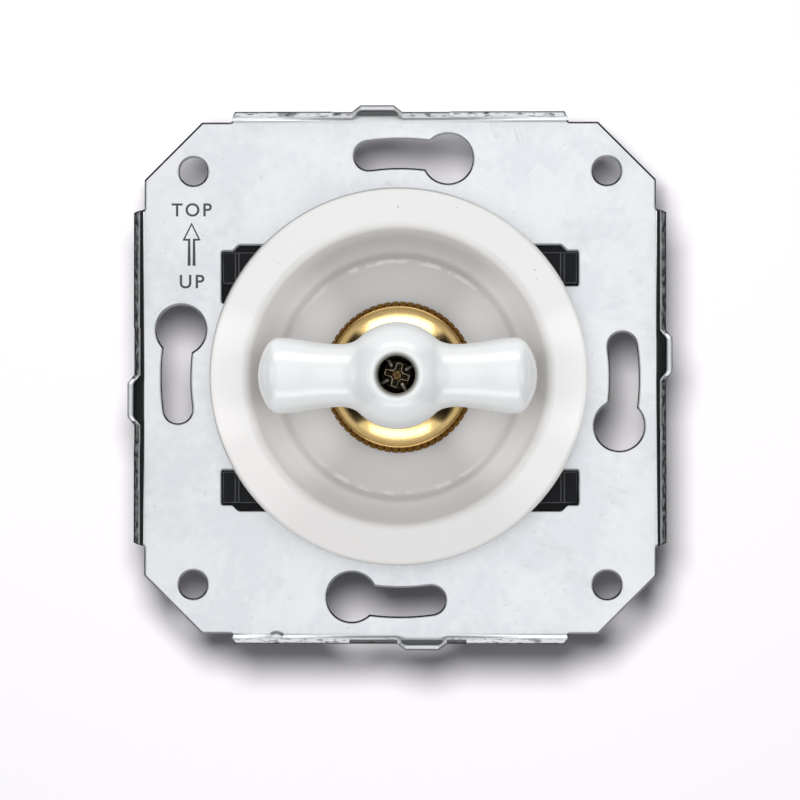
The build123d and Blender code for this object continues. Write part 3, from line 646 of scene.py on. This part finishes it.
# Backdrop: a matt sheet just behind the switch. It takes the switch's shadow, has a painted shadow where
# the plate covers it, fades into the white round about at its rim, and can't be seen from behind.
def paper_finish():
    covered_half = 35.5 * MM
    covered_corner = 62 * MM
    fade_start = 90 * MM
    fade_end = 150 * MM
    finish = Finish("backdrop_paper", Roughness=1.0, Specular_IOR_Level=0.0)
    place = finish.place()
    across = abs(finish.along(place, 0))
    up = abs(finish.along(place, 2))
    # Painted shadow: the sheet is darker where the plate covers it.
    past_sides = finish.ramp(across.at_least(up), covered_half, covered_half + 2 * MM)
    past_corners = finish.ramp(across + up, covered_corner, covered_corner + 3 * MM)
    outside_painted_shadow = past_sides.at_least(past_corners)
    finish.shade(Base_Color=finish.mix(outside_painted_shadow, (0.245, 0.238, 0.245, 1), (0.35, 0.34, 0.35, 1)))
    faded = finish.ramp(from_axis(finish), fade_start, fade_end)
    hidden = faded.at_least(finish.node("ShaderNodeNewGeometry", output="Backfacing"))
    lit = Value(finish, finish.shader.outputs[0])
    clear = finish.node("ShaderNodeBsdfTransparent")
    seen = finish.node("ShaderNodeMixShader", {}, {0: hidden, 1: lit, 2: clear})
    finish.feed(finish.tree.nodes["Material Output"].inputs["Surface"], seen)
    return finish


def flat_card(name, corners):
    """One face with four corners."""
    mesh = bpy.data.meshes.new(name)
    mesh.from_pydata(corners, [], [(0, 1, 2, 3)])
    card = bpy.data.objects.new(name, mesh)
    bpy.context.scene.collection.objects.link(card)
    return card


backdrop_y = 24 * MM
half = 170 * MM
corners = [(-half, backdrop_y, -half), (half, backdrop_y, -half)]
corners += [(half, backdrop_y, half), (-half, backdrop_y, half)]
backdrop = flat_card("backdrop", corners)
backdrop.visible_diffuse = False
backdrop.visible_shadow = False
paper_finish().coat(backdrop)
backdrop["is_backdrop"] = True


# Surround: white to the camera and in reflections, and dimmer as light on the pieces, so that
# their pale surfaces don't clip.
shown_strength = 1.0
lighting_strength = 0.42
world = bpy.data.worlds.new("studio")
bpy.context.scene.world = world
world.use_nodes = True
surround = world.node_tree.nodes["Background"]
surround.inputs["Color"].default_value = (0.97, 0.98, 1.0, 1)
rays = world.node_tree.nodes.new("ShaderNodeLightPath")
shown = rays.outputs["Is Camera Ray"]
for ray in ("Is Glossy Ray", "Is Transmission Ray"):
    either = world.node_tree.nodes.new("ShaderNodeMath")
    either.operation = "MAXIMUM"
    world.node_tree.links.new(shown, either.inputs[0])
    world.node_tree.links.new(rays.outputs[ray], either.inputs[1])
    shown = either.outputs[0]
level = world.node_tree.nodes.new("ShaderNodeMapRange")
level.inputs["To Min"].default_value = lighting_strength
level.inputs["To Max"].default_value = shown_strength
world.node_tree.links.new(shown, level.inputs["Value"])
world.node_tree.links.new(level.outputs[0], surround.inputs["Strength"])


# Lamps: a round one in front, a little above and left, throws the shadow on the backdrop. Others
# in front and at the sides light bowl, plate and the rest, each at its own level. Softboxes on
# four sides draw the highlights, and two behind light the housing.
def softbox(name, place, width, height, watts, lights):
    """An area lamp of this size that faces the switch and lights one group of objects."""
    lamp = bpy.data.lights.new(name, "AREA")
    lamp.shape = "RECTANGLE"
    lamp.size = width
    lamp.size_y = height
    lamp.energy = watts
    holder = bpy.data.objects.new(name, lamp)
    holder.location = place
    holder.rotation_euler = (-Vector(place)).to_track_quat("-Z", "Y").to_euler()
    holder.light_linking.receiver_collection = lights
    bpy.context.scene.collection.objects.link(holder)
    return holder


def lit_group(name, members):
    """A collection that a lamp can be limited to."""
    group = bpy.data.collections.new(name)
    for member in members:
        group.objects.link(member)
    return group


bowl = nodes["porcelain_bowl"]
all_pieces = lit_group("switch_pieces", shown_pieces())
only_backdrop = lit_group("backdrop_only", [backdrop])
only_bowl = lit_group("bowl_only", [bowl])
only_plate = lit_group("plate_only", [support_plate])
only_plastic = lit_group("plastic_only", [nodes["mechanism_housing"], nodes["rear_cover"]])
all_but_bowl = lit_group("all_but_bowl", [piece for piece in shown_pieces() if piece != bowl])
all_but_plate = lit_group("all_but_plate", [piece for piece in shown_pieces() if piece != support_plate])

shadow_lamp = softbox("shadow_lamp", (-0.0063, -0.409, 0.0482), 0.092, 0.092, 4.95, only_backdrop)
shadow_lamp.data.shape = "DISK"
front_lamp = softbox("front_lamp", (-0.10, -0.7, 0.16), 0.3, 0.3, 1.4, all_but_bowl)
front_lamp.visible_glossy = False
bowl_lamp = softbox("bowl_lamp", (0.0, -0.62, 0.10), 0.9, 0.9, 2.2, only_bowl)
bowl_lamp.visible_glossy = False
softbox("plate_lamp", (-0.06, -0.6, 0.10), 0.5, 0.5, 0.16, only_plate)
for name, side in (("plate_left", -1), ("plate_right", 1)):
    panel = softbox(name, (side * 0.15, -0.10, 0.0), 0.17, 0.26, 0.085, only_plate)
    panel.visible_camera = False
softbox("top_softbox", (0.0, -0.24, 0.42), 0.55, 0.20, 1.0, all_but_bowl)
softbox("bottom_softbox", (0.0, -0.24, -0.42), 0.50, 0.16, 0.6, all_but_bowl)
softbox("left_softbox", (-0.42, -0.30, 0.0), 0.3, 0.3, 0.40, all_but_plate)
softbox("right_softbox", (0.42, -0.30, 0.0), 0.3, 0.3, 0.45, all_but_plate)
for name, side, watts in (("left_fill", -1, 0.6), ("right_fill", 1, 0.5)):
    fill = softbox(name, (side * 0.41, -0.34, 0.0), 0.3, 0.4, watts, only_bowl)
    fill.visible_glossy = False
softbox("rear_softbox", (0.25, 0.6, 0.35), 0.5, 0.5, 2.0, all_pieces)
softbox("housing_softbox", (-0.35, 0.5, 0.40), 0.5, 0.5, 5.0, only_plastic)


# Flags: one black card on each side that only reflections see, as a photographer sets beside
# shiny metal and glaze to give them dark edges.
black_card = Finish("black_card", Roughness=1.0, Specular_IOR_Level=0.0, Base_Color=(0.01, 0.01, 0.01, 1))
for name, side in (("left_flag", -1), ("right_flag", 1)):
    near_x, near_y = side * 0.12, -0.42
    far_x, far_y = side * 0.32, 0.35
    half_tall = 0.22
    near_edge = [(near_x, near_y, -half_tall), (near_x, near_y, half_tall)]
    far_edge = [(far_x, far_y, half_tall), (far_x, far_y, -half_tall)]
    flag = flat_card(name, near_edge + far_edge)
    for ray in ("camera", "diffuse", "transmission", "shadow"):
        setattr(flag, "visible_" + ray, False)
    black_card.coat(flag)
    flag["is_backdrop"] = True


# Camera: half a metre in front, a little to the right of the spindle and below it, with a long
# lens. The photograph's 800 pixels span 107.1 mm at the plate, whose middle stands 22 pixels above
# the picture's centre.
photo_pixels = 800
photo_width = 107.1 * MM
middle_pixels = 22.2
middle_above_centre = middle_pixels / photo_pixels * photo_width
camera_place = Vector((0.012, -0.5, -0.011))
aim = Vector((0, 0, -middle_above_centre))
lens = bpy.data.cameras.new("camera")
lens.sensor_width = 36
lens.lens = lens.sensor_width * (aim - camera_place).length / photo_width
camera = bpy.data.objects.new("camera", lens)
camera.location = camera_place
camera.rotation_euler = (aim - camera_place).to_track_quat("-Z", "Y").to_euler()
bpy.context.scene.collection.objects.link(camera)
bpy.context.scene.camera = camera
bpy.context.scene.view_settings.view_transform = "Standard"
